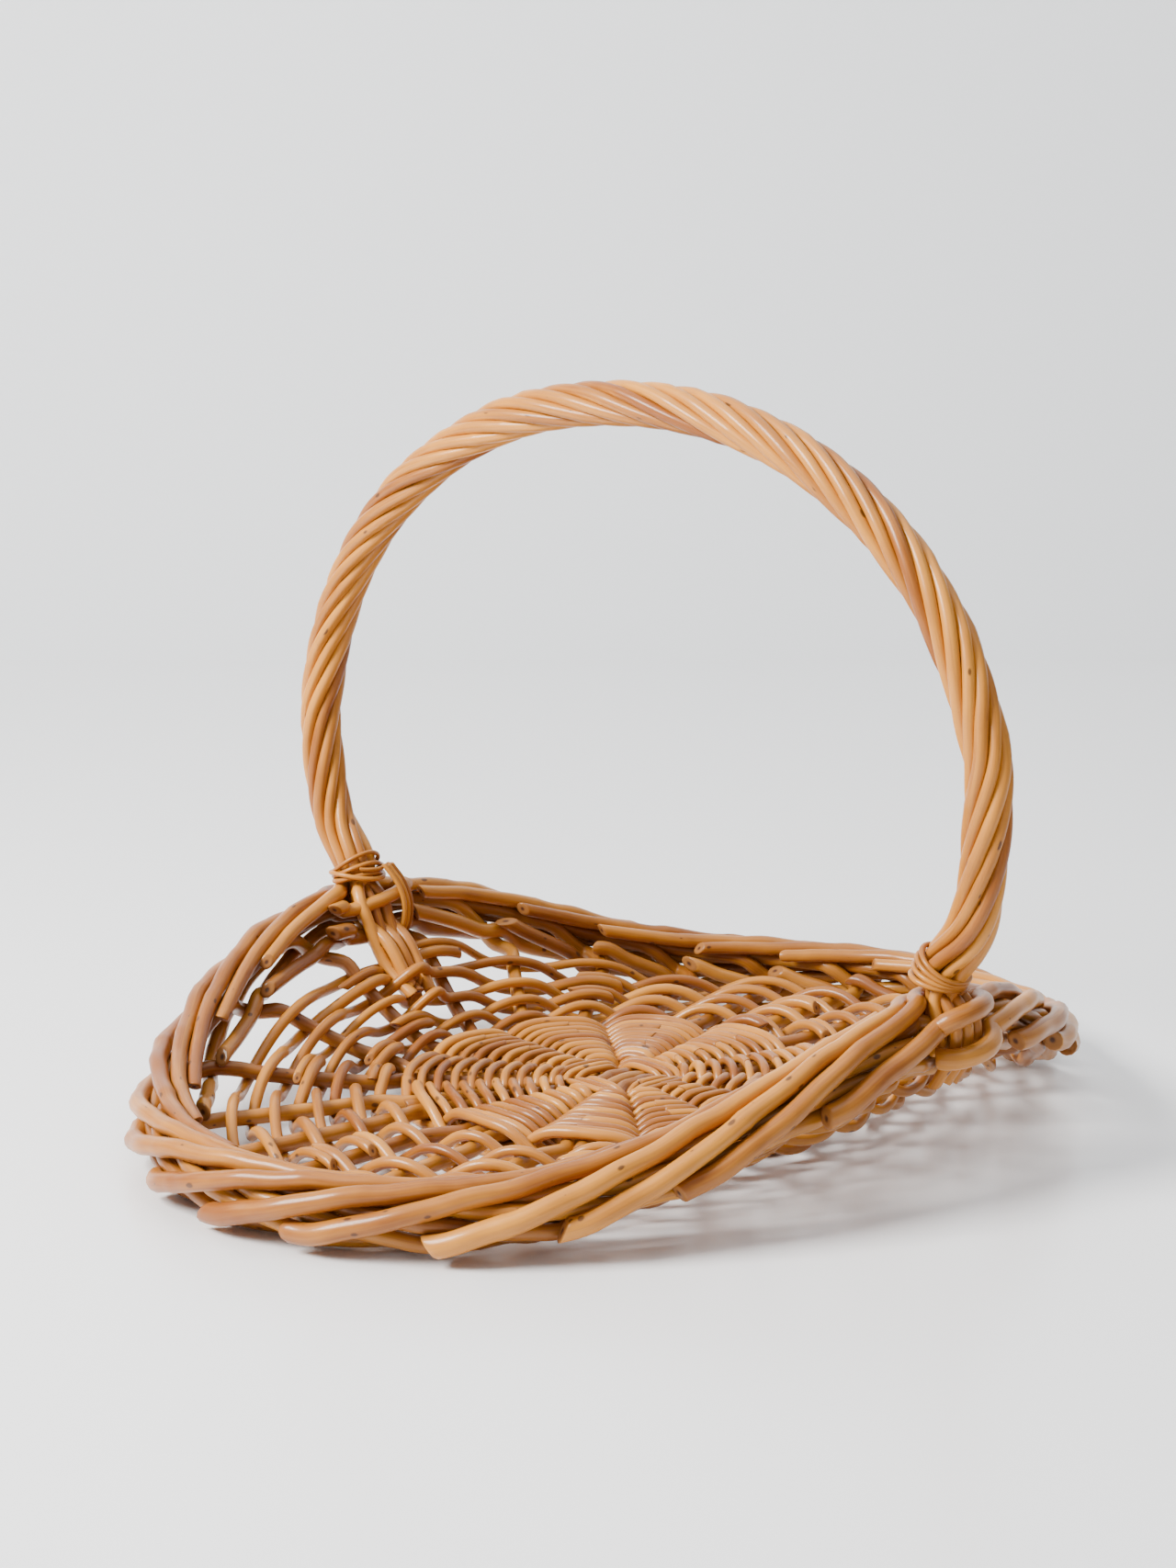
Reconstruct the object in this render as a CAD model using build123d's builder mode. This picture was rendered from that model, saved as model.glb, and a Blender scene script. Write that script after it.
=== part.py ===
from build123d import *
import os
from math import asin, atan, ceil, cos, degrees, exp, floor, pi, radians, sin, tan, tanh

# A willow gathering basket: a round woven base, a wide low oval tray of side stakes and
# weaving, a thick rolled border and a tall roped handle across the middle. Millimetres.
# The origin is on the floor under the hub, X is the long way of the tray and the handle
# stands in the YZ plane. The basket maps onto itself when it is turned half a turn.

# ---- rods ----
split_stick_diameter = 8.0
through_stick_diameter = 7.0
stake_diameter = 7.0
base_weaver_diameter = 4.6
wale_diameter = 5.6
side_weaver_diameter = 5.5
border_rod_diameter = 8.6
bow_diameter = 9.4
strand_diameter = 5.4
cane_diameter = 2.6
clearance = 0.3
weave_clearance = 0.6         # between a stake and what is woven round it
rope_clearance = 0.8

# ---- base ----
base_radius = 105.0
hub_spacing = 8.3             # from one stick to the next where three lie side by side
hub_bend_radius = 8.0         # where the outer sticks are opened out
knuckle_length = 42.0         # the swelling of a split stick round its slit
knuckle_height = 13.6
first_tie_radius = 27.0
tie_rounds = 3
stake_start_radius = 69.0     # where a side stake is pushed in beside its base stick
stick_overhang = 2.0          # stick ends past the last round of the base
wear_depth = 0.5              # flats worn on the underside of the wale

# ---- tray ----
rim_length = 468.0            # over the middle of the rolled border
rim_width = 348.0
end_height = 20.0             # middle of the border above the floor, at the two ends
foot_height = 68.0            # and where the handle meets it
rim_rise_power = 5
wall_curve_power = 1.4
stakes_per_stick = 2
side_lift = 0.6               # the side weaving clears the floor by this much
first_row_share = 0.13        # of the way from the base to the border
last_row_share = 0.84
row_closeness = 1.3           # least pitch of the rows, in thicknesses of their rods
stake_wall_shares = (0.1, 0.35, 0.6, 0.91)  # where the stakes are held on the wall

# ---- border ----
rod_pitch_angle = 37.5        # round the roll, from one rod to the next
rod_lean_share = 0.84         # the rods lie aslant, which brings them this much closer
tail_start_angle = -40.0      # below the outermost point
butt_start_angle = -25.0
rod_end_angle = 205.0         # inside, past the top
wall_top_angle = 225.0        # where the woven wall meets the roll
least_turn_azimuth = 5.0      # a stake needs this much of the rim to turn along it
roll_swelling = 5.0           # the roll opens this much round the foot of the handle
swelling_azimuth = 3.0
foot_clearance = 5.6          # between the bow and the parted rods, which lie aslant
foot_crowding = 0.28          # the parted rods lie this much closer together
parting_blend_angle = 6.0     # from the top, where a rod goes from one side to the other
stake_turn_share = 0.4        # of the way along its turn a stake is bent outward,
stake_turn_outward = 0.55     # this far from the middle of the roll, in roll radii,
stake_turn_drop = 0.9         # and this far below it
marks_per_stake = 4           # corners of a border rod from one stake to the next
least_mark_gap = 0.4          # of a mark, between a rod's end and its nearest corner

# ---- handle ----
handle_top = 330.0            # middle of the handle
handle_half_span = 201.0      # at its widest
handle_widest_height = 150.0
handle_squareness = 0.95
arch_end_angle = 4.0          # above the widest point, where the arch begins and ends
arch_corner_count = 15
leg_corners = ((0.72, 0.62), (0.1, 0.3))  # outward and up, from border to widest point
leg_wall_shares = (0.93, 0.75)
strand_lead = 165.0           # one turn of the rope
strand_foot_height = 91.0
rows_round_bow = 5            # the bow is pushed down the wall past this many rows
binding_turns = 4
binding_foot_height = 93.0
coil_steps_per_turn = 12

# ---- fineness ----
corner_ease = 0.45            # of the shorter run beside it, for the arc at a corner
share_probe = 0.01            # small steps for finding the slopes of the wall
azimuth_probe = 0.5
halvings = 30

# ---- worked out ----
stick_count = 3
spoke_count = 4 * stick_count
spoke_step = 360 / spoke_count
stake_step = spoke_step / stakes_per_stick
stake_azimuths = [(number + 0.5) * stake_step for number in range(spoke_count * stakes_per_stick)]
spoke_diameter = max(split_stick_diameter, stake_diameter)
stick_reach = (spoke_diameter + base_weaver_diameter) / 2 + clearance
wale_reach = (spoke_diameter + wale_diameter) / 2 + clearance
side_reach = (stake_diameter + side_weaver_diameter) / 2 + weave_clearance
bow_reach = (bow_diameter + side_weaver_diameter) / 2 + weave_clearance
base_middle = wale_reach + wale_diameter / 2 - wear_depth
stake_offset = (split_stick_diameter + stake_diameter) / 2 + clearance
base_round_pitch = base_weaver_diameter + clearance
wale_radius = base_radius - wale_diameter
stick_half_length = wale_radius + wale_diameter / 2 + stick_overhang
hub_half_length = hub_spacing / tan(radians(spoke_step))
hub_stick_places = [(number - 1) * hub_spacing for number in range(stick_count)]
rod_spacing = (stake_diameter + border_rod_diameter) / 2 + clearance
roll_radius = rod_spacing / (2 * sin(radians(rod_pitch_angle / 2)) * rod_lean_share)
roll_angle_per_azimuth = stakes_per_stick * rod_pitch_angle / stake_step
foot_reach = (bow_diameter + border_rod_diameter) / 2 + foot_clearance
parted_angle = degrees(asin(foot_reach / (roll_radius + roll_swelling)))
foot_parting_angle = parted_angle - rod_pitch_angle / 2 * (1 - foot_crowding)
# the handle's foot at azimuth 90 comes midway between two border rods
angle_at_foot = tail_start_angle + roll_angle_per_azimuth * (
    90 - stake_azimuths[0] - least_turn_azimuth
)
late_angle = (angle_at_foot - 90 - rod_pitch_angle / 2) % rod_pitch_angle
tail_turn_azimuth = least_turn_azimuth + late_angle / roll_angle_per_azimuth


def azimuth_point(radius, azimuth, height):
    return Vector(radius * cos(radians(azimuth)), radius * sin(radians(azimuth)), height)


def rim_point(azimuth):
    """Middle of the rolled border."""
    rise = (foot_height - end_height) * abs(sin(radians(azimuth))) ** rim_rise_power
    return Vector(
        rim_length / 2 * cos(radians(azimuth)),
        rim_width / 2 * sin(radians(azimuth)),
        end_height + rise,
    )


def rim_outward(azimuth):
    """Level direction square to the rim, away from the tray."""
    return Vector(
        rim_width * cos(radians(azimuth)), rim_length * sin(radians(azimuth)), 0
    ).normalized()


def wall_point(azimuth, share):
    """Middle of the woven wall, from the base edge (share 0) to the border (1)."""
    foot = azimuth_point(base_radius, azimuth, base_middle + side_lift)
    lean = radians(wall_top_angle)
    top = rim_point(azimuth) + rim_outward(azimuth) * (roll_radius * cos(lean))
    top += Vector(0, 0, roll_radius * sin(lean))
    height = foot.Z + (top.Z - foot.Z) * share**wall_curve_power
    return Vector(
        foot.X + (top.X - foot.X) * share, foot.Y + (top.Y - foot.Y) * share, height
    )


def wall_inward(azimuth, share):
    """Direction square to the wall, towards the inside of the tray."""
    up_the_wall = wall_point(azimuth, share + share_probe)
    up_the_wall -= wall_point(azimuth, share - share_probe)
    round_the_wall = wall_point(azimuth + azimuth_probe, share)
    round_the_wall -= wall_point(azimuth - azimuth_probe, share)
    return up_the_wall.cross(round_the_wall).normalized()


# the rows are as many as the shortest wall, at the foot of the handle, has room for
shortest_wall = (wall_point(90, last_row_share) - wall_point(90, first_row_share)).length
side_row_count = floor(shortest_wall / (row_closeness * side_weaver_diameter)) + 1
row_share_step = (last_row_share - first_row_share) / (side_row_count - 1)
bow_tip_share = last_row_share - (rows_round_bow - 0.5) * row_share_step


def foot_nearness(azimuth):
    """1 at the foot of the handle, falling to 0 a few degrees away from it."""
    away = (azimuth % 180) - 90
    return exp(-((away / swelling_azimuth) ** 2))


def roll_point(azimuth, angle):
    """Middle of a border rod: angle 0 is outermost, 90 on top and 180 inside."""
    near = foot_nearness(azimuth)
    from_top = angle - 90
    parting = foot_parting_angle * tanh(from_top / parting_blend_angle)
    parting -= from_top * foot_crowding
    angle = angle + near * parting
    radius = roll_radius + near * roll_swelling
    outward = rim_outward(azimuth) * (radius * cos(radians(angle)))
    return rim_point(azimuth) + outward + Vector(0, 0, radius * sin(radians(angle)))


def easy_radii(points):
    """The largest arc that each corner of a free route has room for."""
    radii = []
    for before, corner, after in zip(points, points[1:], points[2:]):
        run_in = corner - before
        run_out = after - corner
        half_turn = radians(run_in.get_angle(run_out)) / 2
        radii.append(corner_ease * min(run_in.length, run_out.length) / tan(half_turn))
    return radii


def add_rod(points, diameter, radii=None):
    """Add one round rod to the part being built, along runs joined by tangent arcs."""
    with BuildLine() as route:
        if len(points) == 2:
            Line(*points)
        else:
            FilletPolyline(*points, radius=radii or easy_radii(points))
    path = route.wire()
    with BuildSketch(Plane(origin=path @ 0, z_dir=path % 0)) as section:
        Circle(diameter / 2)
    sweep(section.sketch, path=path)


def woven_route(members, first_side):
    """Corners and radii of a weaver that passes its members on alternate sides.

    Each member is (centres, square, reach): the outermost rods of what the weaver
    passes, the direction square to the woven surface, and the distance from a rod's
    middle to the weaver's middle. The route starts and ends on the first member.
    """
    corners = []
    radii = []
    count = len(members)
    side = first_side
    for number in range(count + 1):
        centres, square, reach = members[number % count]
        previous_centres, _, previous_reach = members[(number - 1) % count]
        next_centres, _, next_reach = members[(number + 1) % count]
        gap_in = (centres[0] - previous_centres[-1]).length
        gap_out = (next_centres[0] - centres[-1]).length
        slope_in = asin((reach + previous_reach) / gap_in)
        slope_out = asin((reach + next_reach) / gap_out)
        along = (next_centres[0] - previous_centres[-1]).normalized()
        if len(centres) == 1:
            turns = [(centres[0], slope_in, slope_out)]
        else:
            turns = [(centres[0], slope_in, 0), (centres[-1], 0, slope_out)]
        for centre, turn_in, turn_out in turns:
            lean = (turn_out - turn_in) / 2
            distance = reach / cos((turn_in + turn_out) / 2)
            offset = along * (distance * sin(lean)) + square * (side * distance * cos(lean))
            corners.append(centre + offset)
            radii.append(reach)
        side = -side
    return trim_to_first_member(corners, radii, members[0])


def trim_to_first_member(corners, radii, first_member):
    """Butt the two ends of a round against each other on its first member."""
    centres = first_member[0]
    if len(centres) == 1:
        start = corners[0] + (corners[1] - corners[0]).normalized() * clearance
        end = corners[-1] + (corners[-2] - corners[-1]).normalized() * clearance
        return [start] + corners[1:-1] + [end], radii[1:-1]
    middle = (corners[0] + corners[1]) / 2
    apart = (corners[1] - corners[0]).normalized() * clearance
    return [middle + apart] + corners[1:-1] + [middle - apart], radii[1:-1]


def save(part, name):
    part.part.label = name
    export_step(part.part, f"parts/{name}.step")


# ---- base sticks ----
def stick_route(place):
    """A base stick along X: straight at the hub, and splayed if it is an outer one."""
    if place == 0:
        return [Vector(end, 0, base_middle) for end in (-stick_half_length, stick_half_length)]
    side = 1 if place > 0 else -1
    end = azimuth_point(stick_half_length, side * spoke_step, base_middle)
    return [
        Vector(-end.X, end.Y, base_middle),
        Vector(-hub_half_length, place, base_middle),
        Vector(hub_half_length, place, base_middle),
        end,
    ]


def turned(points):
    """The same route a quarter turn round, for the sticks that lie along Y."""
    return [Vector(-point.Y, point.X, point.Z) for point in points]


# ---- weaving ----
def arm_members(radius):
    """The four arms of three sticks, as the first tying rounds pass them."""
    members = []
    for middle in (0, 90, 180, 270):
        outer_sticks = (middle - spoke_step, middle + spoke_step)
        centres = [azimuth_point(radius, azimuth, base_middle) for azimuth in outer_sticks]
        members.append((centres, Vector(0, 0, 1), stick_reach))
    return members


def spoke_members(radius, reach):
    """The spokes of the base, with their two side stakes where those have begun."""
    half_width = stake_offset if radius > stake_start_radius else 0
    members = []
    for number in range(spoke_count):
        places = [-half_width, half_width] if half_width else [0]
        centres = [
            Vector(radius, place, base_middle).rotate(Axis.Z, spoke_step * number)
            for place in places
        ]
        members.append((centres, Vector(0, 0, 1), reach))
    return members


def wall_members(share):
    """The side stakes, and the two legs of the bow in the rows that they reach."""
    members = []
    azimuths = [(azimuth, side_reach) for azimuth in stake_azimuths]
    if share > bow_tip_share:
        azimuths += [(90, bow_reach), (270, bow_reach)]
    for azimuth, reach in sorted(azimuths):
        members.append(([wall_point(azimuth, share)], wall_inward(azimuth, share), reach))
    return members


# ---- stakes and border ----
def tail_route(azimuth, start_angle):
    """Border rod route from start_angle, outside, over the top and down the inside."""
    step = stake_step / marks_per_stake
    span = (rod_end_angle - start_angle) / roll_angle_per_azimuth
    first_mark = ceil(azimuth / step + least_mark_gap)
    last_mark = floor((azimuth + span) / step - least_mark_gap)
    marks = [mark * step for mark in range(first_mark, last_mark + 1)]
    return [
        roll_point(mark, start_angle + (mark - azimuth) * roll_angle_per_azimuth)
        for mark in [azimuth] + marks + [azimuth + span]
    ]


def stake_route(number, azimuth):
    """Side stake: beside its base stick, up the wall, under the roll and along it."""
    spoke = floor(number / stakes_per_stick + 0.5) * spoke_step
    side = 1 if azimuth > spoke else -1
    base_part = [
        Vector(radius, side * stake_offset, base_middle).rotate(Axis.Z, spoke)
        for radius in (stake_start_radius, wale_radius + wale_diameter / 2)
    ]
    wall_part = [wall_point(azimuth, share) for share in stake_wall_shares]
    under_roll = rim_point(azimuth) - Vector(0, 0, roll_radius)
    turn_azimuth = azimuth + tail_turn_azimuth * stake_turn_share
    turn_out = rim_point(turn_azimuth)
    turn_out += rim_outward(turn_azimuth) * (roll_radius * stake_turn_outward)
    turn_out -= Vector(0, 0, roll_radius * stake_turn_drop)
    tail = tail_route(azimuth + tail_turn_azimuth, tail_start_angle)
    return base_part + wall_part + [under_roll, turn_out] + tail


# ---- handle ----
def handle_point(angle):
    """Middle of the handle's arch: angle 0 is its widest on the +Y side, 90 the top."""
    across = cos(radians(angle))
    up = sin(radians(angle))
    side = 1 if across >= 0 else -1
    return Vector(
        0,
        side * handle_half_span * abs(across) ** handle_squareness,
        handle_widest_height + (handle_top - handle_widest_height) * up**handle_squareness,
    )


def leg_points(side):
    """From the widest point down through the border and into the weave, on one side."""
    rim_half_width = rim_width / 2
    bulge = handle_half_span - rim_half_width
    drop = handle_widest_height - foot_height
    points = [
        Vector(0, side * (rim_half_width + bulge * outward), foot_height + drop * up)
        for outward, up in leg_corners
    ]
    points.append(Vector(0, side * rim_half_width, foot_height))
    for share in leg_wall_shares + (bow_tip_share,):
        points.append(wall_point(90 * side, share))
    return points


def bow_route():
    arch_step = (180 - 2 * arch_end_angle) / (arch_corner_count - 1)
    arch = [
        handle_point(arch_end_angle + arch_step * number)
        for number in range(arch_corner_count)
    ]
    return leg_points(1)[::-1] + arch + leg_points(-1)


def bow_path():
    """The line of the bow, with its arcs, as one wire from the +Y to the -Y leg."""
    points = bow_route()
    with BuildLine() as line:
        FilletPolyline(*points, radius=easy_radii(points))
    return line.wire()


def rope_point(path, place, turn, radius):
    """A point beside the bow: place is a length from its middle, turn is in degrees."""
    share = 0.5 + place / path.length
    along = (path % share).normalized()
    outward = Vector(1, 0, 0).cross(along).normalized()
    if outward.dot(path @ share - Vector(0, 0, handle_widest_height)) < 0:
        outward = -outward
    sideways = Vector(1, 0, 0)
    return (
        path @ share
        + outward * (radius * cos(radians(turn)))
        + sideways * (radius * sin(radians(turn)))
    )


def place_at_height(path, height):
    """Length along the bow from its middle down to a height, by halving."""
    low, high = 0.0, path.length / 2
    for _ in range(halvings):
        middle = (low + high) / 2
        if (path @ (0.5 + middle / path.length)).Z > height:
            low = middle
        else:
            high = middle
    return low


def coil_route(path, start, end, turn_count, first_turn, radius):
    """Points of a right-handed coil round the bow between two places on it."""
    steps = ceil(turn_count * coil_steps_per_turn)
    points = []
    for step in range(steps + 1):
        share = step / steps
        turn = first_turn - 360 * turn_count * share
        points.append(rope_point(path, start + (end - start) * share, turn, radius))
    return points


os.makedirs("parts", exist_ok=True)
hub_bends = [hub_bend_radius, hub_bend_radius]

for number, place in enumerate(hub_stick_places, start=1):
    with BuildPart() as split_stick:
        add_rod(stick_route(place), split_stick_diameter, hub_bends)
        with BuildSketch(Plane.XZ.offset(-place)) as knuckle:
            with Locations((0, base_middle)):
                Ellipse(knuckle_length / 2, knuckle_height / 2)
        extrude(amount=hub_spacing / 2 - clearance / 2, both=True)
        slit_length = 2 * hub_spacing + through_stick_diameter + 2 * clearance
        with Locations((0, place, base_middle)):
            Box(
                slit_length,
                hub_spacing + split_stick_diameter,
                through_stick_diameter + 2 * clearance,
                mode=Mode.SUBTRACT,
            )
    save(split_stick, f"split_stick_{number}")

for number, place in enumerate(hub_stick_places, start=1):
    with BuildPart() as through_stick:
        add_rod(turned(stick_route(place)), through_stick_diameter, hub_bends)
    save(through_stick, f"through_stick_{number}")

with BuildPart() as slath_tie:
    for tie in range(tie_rounds):
        radius = first_tie_radius + tie * base_round_pitch
        corners, radii = woven_route(arm_members(radius), (-1) ** tie)
        add_rod(corners, base_weaver_diameter, radii)
save(slath_tie, "slath_tie")

first_round_radius = first_tie_radius + tie_rounds * base_round_pitch
last_round_radius = wale_radius - (wale_diameter + base_weaver_diameter) / 2 - clearance
round_count = floor((last_round_radius - first_round_radius) / base_round_pitch) + 1
round_radii = [
    last_round_radius - base_round_pitch * number for number in reversed(range(round_count))
]
with BuildPart() as base_weave:
    for number, radius in enumerate(round_radii):
        corners, radii = woven_route(spoke_members(radius, stick_reach), (-1) ** number)
        add_rod(corners, base_weaver_diameter, radii)
save(base_weave, "base_weave")

with BuildPart() as foot_wale:
    corners, radii = woven_route(spoke_members(wale_radius, wale_reach), (-1) ** round_count)
    add_rod(corners, wale_diameter, radii)
    split(bisect_by=Plane.XY, keep=Keep.TOP)
save(foot_wale, "foot_wale")

for number, azimuth in enumerate(stake_azimuths):
    with BuildPart() as side_stake:
        add_rod(stake_route(number, azimuth), stake_diameter)
    save(side_stake, f"side_stake_{number + 1:02d}")

for row in range(side_row_count):
    share = first_row_share + row_share_step * row
    with BuildPart() as side_row:
        corners, radii = woven_route(wall_members(share), (-1) ** row)
        add_rod(corners, side_weaver_diameter, radii)
    save(side_row, f"side_row_{row + 1}")

butt_lag = (butt_start_angle - tail_start_angle) / roll_angle_per_azimuth
for number in range(0, len(stake_azimuths), 2):
    with BuildPart() as border_pair:
        for azimuth in stake_azimuths[number:number + 2]:
            start = azimuth + tail_turn_azimuth + stake_step / 2 + butt_lag
            add_rod(tail_route(start, butt_start_angle), border_rod_diameter)
    save(border_pair, f"border_rods_{number // 2 + 1:02d}")

with BuildPart() as handle_bow:
    add_rod(bow_route(), bow_diameter)
save(handle_bow, "handle_bow")

handle_line = bow_path()
rope_radius = (bow_diameter + strand_diameter) / 2 + rope_clearance
rope_girth = 2 * pi * rope_radius
strand_lean = atan(rope_girth / strand_lead)
strand_count = floor(rope_girth / (strand_diameter / cos(strand_lean) + clearance))
rope_half_length = place_at_height(handle_line, strand_foot_height)
rope_turns = 2 * rope_half_length / strand_lead
rope_ends = (-rope_half_length, rope_half_length)
with BuildPart() as handle_strands:
    for strand in range(strand_count):
        first_turn = 360 * strand / strand_count + 180 * rope_turns
        route = coil_route(handle_line, *rope_ends, rope_turns, first_turn, rope_radius)
        add_rod(route, strand_diameter)
save(handle_strands, "handle_strands")

binding_radius = rope_radius + (strand_diameter + cane_diameter) / 2 + rope_clearance
binding_start = place_at_height(handle_line, binding_foot_height)
binding_length = binding_turns * (cane_diameter + clearance)
for name, side in (("handle_binding_left", -1), ("handle_binding_right", 1)):
    with BuildPart() as handle_binding:
        ends = (side * binding_start, side * (binding_start - binding_length))
        route = coil_route(handle_line, *ends, binding_turns, 0, binding_radius)
        add_rod(route, cane_diameter)
    save(handle_binding, name)
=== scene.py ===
"""Looks of a woven willow gathering basket, laid out as an add-on and run as a script."""
import math
from functools import lru_cache

import bpy
import numpy as np
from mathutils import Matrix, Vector, kdtree


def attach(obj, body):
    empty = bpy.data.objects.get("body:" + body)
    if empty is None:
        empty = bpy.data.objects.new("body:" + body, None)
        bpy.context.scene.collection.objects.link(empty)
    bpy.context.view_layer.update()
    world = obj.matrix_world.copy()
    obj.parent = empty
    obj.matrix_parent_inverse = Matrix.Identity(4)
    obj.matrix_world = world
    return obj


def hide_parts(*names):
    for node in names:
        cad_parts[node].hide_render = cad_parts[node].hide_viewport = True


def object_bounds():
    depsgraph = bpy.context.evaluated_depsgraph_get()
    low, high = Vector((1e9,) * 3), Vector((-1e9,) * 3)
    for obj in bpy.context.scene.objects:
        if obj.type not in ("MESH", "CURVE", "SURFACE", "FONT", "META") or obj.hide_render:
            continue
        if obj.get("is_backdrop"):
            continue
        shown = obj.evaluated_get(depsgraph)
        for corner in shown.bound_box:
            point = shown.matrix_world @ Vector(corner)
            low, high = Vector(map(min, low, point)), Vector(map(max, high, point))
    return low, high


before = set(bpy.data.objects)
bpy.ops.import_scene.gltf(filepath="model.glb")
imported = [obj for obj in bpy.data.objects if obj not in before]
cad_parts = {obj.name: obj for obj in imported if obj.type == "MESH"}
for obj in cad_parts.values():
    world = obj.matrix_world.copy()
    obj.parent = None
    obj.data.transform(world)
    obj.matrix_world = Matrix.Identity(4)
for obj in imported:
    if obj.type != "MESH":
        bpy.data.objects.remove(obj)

bl_info = {
    "name": "Willow basket",
    "version": (1, 0, 0),
    "blender": (4, 5, 0),
    "location": "3D View > Sidebar > Basket",
    "description": "Weaves a willow gathering basket round its packed frame",
    "category": "Add Mesh",
}

CAD_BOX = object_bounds()
MM = 0.001
X = np.array([1.0, 0.0, 0.0])
Z = np.array([0.0, 0.0, 1.0])

# ---- the frame's own sizes, in metres ----
SPLIT_STICK = 8.0 * MM
THROUGH_STICK = 7.0 * MM
STAKE = 7.0 * MM
WALE = 5.6 * MM
CLEARANCE = 0.3 * MM
BASE_RADIUS = 105 * MM
HUB_SPACING = 8.3 * MM
KNUCKLE_LENGTH = 42 * MM
KNUCKLE_HEIGHT = 13.6 * MM
STAKE_START_RADIUS = 69 * MM
RIM_LENGTH = 468 * MM
RIM_WIDTH = 348 * MM
END_HEIGHT = 20 * MM
FOOT_HEIGHT = 68 * MM
RIM_RISE_POWER = 5
WALL_CURVE_POWER = 1.4
SIDE_ROWS = sum(name.startswith("side_row_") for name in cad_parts)
FIRST_ROW_SHARE = 0.13
LAST_ROW_SHARE = 0.84
SIDE_LIFT = 0.6 * MM
ROLL_RADIUS = 15 * MM
WALL_TOP_ANGLE = math.radians(225)
BORDER_SINK = 5 * MM
HANDLE_TOP = 330 * MM
HANDLE_HALF_SPAN = 201 * MM
HANDLE_WIDEST_HEIGHT = 150 * MM
HANDLE_SQUARENESS = 0.95
BOW = 9.4 * MM
SPOKES = 12
STAKES = 24
SPOKE_STEP = 360 / SPOKES
STAKE_STEP = 360 / STAKES
STAKE_AZIMUTHS = [(number + 0.5) * STAKE_STEP for number in range(STAKES)]
WALE_REACH = (SPLIT_STICK + WALE) / 2 + CLEARANCE
BASE_MIDDLE = WALE_REACH + WALE / 2 - 0.5 * MM
STAKE_OFFSET = (SPLIT_STICK + STAKE) / 2 + CLEARANCE
WALE_RADIUS = BASE_RADIUS - WALE
STICK_HALF_LENGTH = WALE_RADIUS + WALE / 2 + 2 * MM
HUB_HALF_LENGTH = HUB_SPACING / math.tan(math.radians(SPOKE_STEP))

STICK_SEED, BASE_SEED, ROW_SEED, UPPER_SEED = 11, 12, 14, 15
ROD_SIDES = 12
RING_SPACING = 2.6 * MM
LINE_STEPS = 24  # between two given points of a smooth line
SHARE_PROBE = 0.02  # small steps for finding the slopes of the wall
AZIMUTH_PROBE = 0.5
TOUCH = 0.1 * MM  # rods that touch are this far apart

# a willow rod: its joints, where the leaves were, stand out a little
JOINT_PITCH = 55 * MM
JOINT_WANDER = 12 * MM
JOINT_LENGTH = 2.6 * MM
JOINT_SWELLING = (0.02, 0.09)


# ---- what a user may change ----
def thickness(name, description, default, low, high):
    """A length that is given here in millimetres."""
    return bpy.props.FloatProperty(
        name=name, description=description, default=default * MM, min=low * MM,
        max=high * MM, unit="LENGTH")


def colour(name, description, default):
    return bpy.props.FloatVectorProperty(
        name=name, description=description, default=default, subtype="COLOR", size=3,
        min=0, max=1)


class BasketRods(bpy.types.PropertyGroup):
    """Thicknesses of the willow."""

    base_weaver: thickness("Base weaver", "Thickness of the rods woven round the base", 4.5, 2, 8)
    side_weaver: thickness("Side weaver", "Thickness of the rods woven up the tray", 5.2, 3, 9)
    stake: thickness("Stake", "Thickness of a side stake at the base", 7.2, 4, 10)
    border_butt: thickness("Border butt", "Thickness of a border rod at its butt", 9.8, 6, 14)
    border_tip: thickness("Border tip", "Thickness of a border rod at its far end", 6.6, 4, 12)
    strand: thickness("Rope rod", "Thickness of the rods wound round the handle", 5.9, 3, 9)
    cane: thickness("Binding cane", "Thickness of the cane at the handle's feet", 2.7, 1, 5)
    crookedness: thickness("Crookedness", "How far a rod wanders from its line", 0.7, 0, 3)


class BasketFinish(bpy.types.PropertyGroup):
    """Colours and gloss of the varnished willow."""

    honey: colour("Honey", "Light willow under varnish", (0.56, 0.225, 0.026))
    amber: colour("Amber", "Darker willow under varnish", (0.23, 0.066, 0.006))
    bark: colour("Bark", "Specks, knots and scars", (0.040, 0.012, 0.004))
    cut: colour("Cut end", "Wood of a cut end", (0.30, 0.115, 0.022))
    pith: colour("Pith", "Dark middle of a cut end", (0.07, 0.022, 0.006))
    gloss: bpy.props.FloatProperty(
        name="Varnish", description="How much varnish lies over the willow",
        default=0.3, min=0, max=1, subtype="FACTOR")


class BasketStage(bpy.types.PropertyGroup):
    """Floor, wall, light and camera."""

    floor: colour("Floor", "Colour of the floor", (0.86, 0.86, 0.865))
    wall: colour("Wall", "Colour of the wall behind", (0.85, 0.865, 0.88))
    camera_place: bpy.props.FloatVectorProperty(
        name="Camera", description="Where the camera stands", subtype="TRANSLATION",
        size=3, unit="LENGTH", default=(-1.0017, -0.8399, 0.3859))
    camera_heading: bpy.props.FloatProperty(
        name="Heading", description="Turn of the camera from straight along Y",
        default=math.radians(-49.3), subtype="ANGLE")
    camera_dip: bpy.props.FloatProperty(
        name="Dip", description="How far the camera looks down",
        default=math.radians(10.03), subtype="ANGLE")
    lens: bpy.props.FloatProperty(
        name="Lens", description="Focal length in millimetres", default=65.77, min=20, max=200)


# ---- lines that the rods follow; angles are in degrees ----
def polar(radius, azimuth, height):
    turn = np.radians(np.asarray(azimuth, float))
    ones = np.ones_like(turn)
    return np.stack([radius * np.cos(turn), radius * np.sin(turn), height * ones], axis=-1)


def unit(vectors):
    return vectors / np.linalg.norm(vectors, axis=-1, keepdims=True)


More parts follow.
